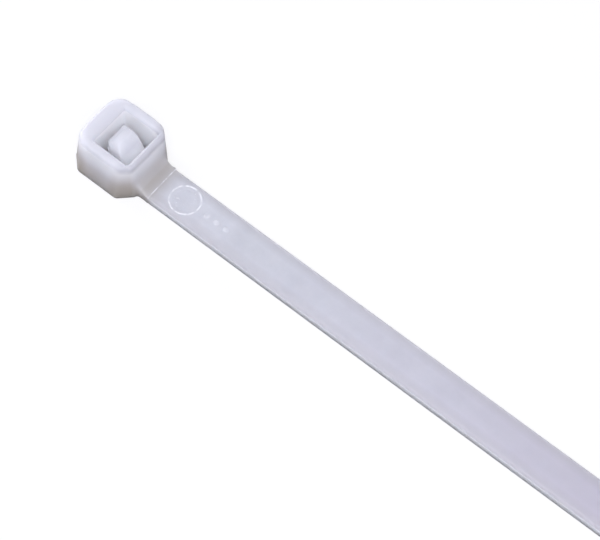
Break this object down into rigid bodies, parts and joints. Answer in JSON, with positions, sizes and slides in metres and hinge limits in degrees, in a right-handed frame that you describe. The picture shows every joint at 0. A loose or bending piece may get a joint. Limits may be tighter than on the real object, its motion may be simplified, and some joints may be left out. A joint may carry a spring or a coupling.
{
  "type": "cable tie",
  "caption": "Self-locking nylon cable tie: a square head with a built-in pawl, a toothed strap and a tapered ribbed tail.",
  "frame": {"origin": "on the underside of the head, in the middle of the path that the strap takes up through the head", "axes": "+X along the strap from the head to the tail, +Y across the strap, +Z out of the head's exit face; the tie lies on its toothed side"},
  "size_m": [0.1999, 0.0086, 0.0056],
  "materials": {
    "nylon": "satin, pale translucent natural nylon"
  },
  "bodies": {
    "root": {"cable_tie": "nylon"}
  },
  "joints": []
}
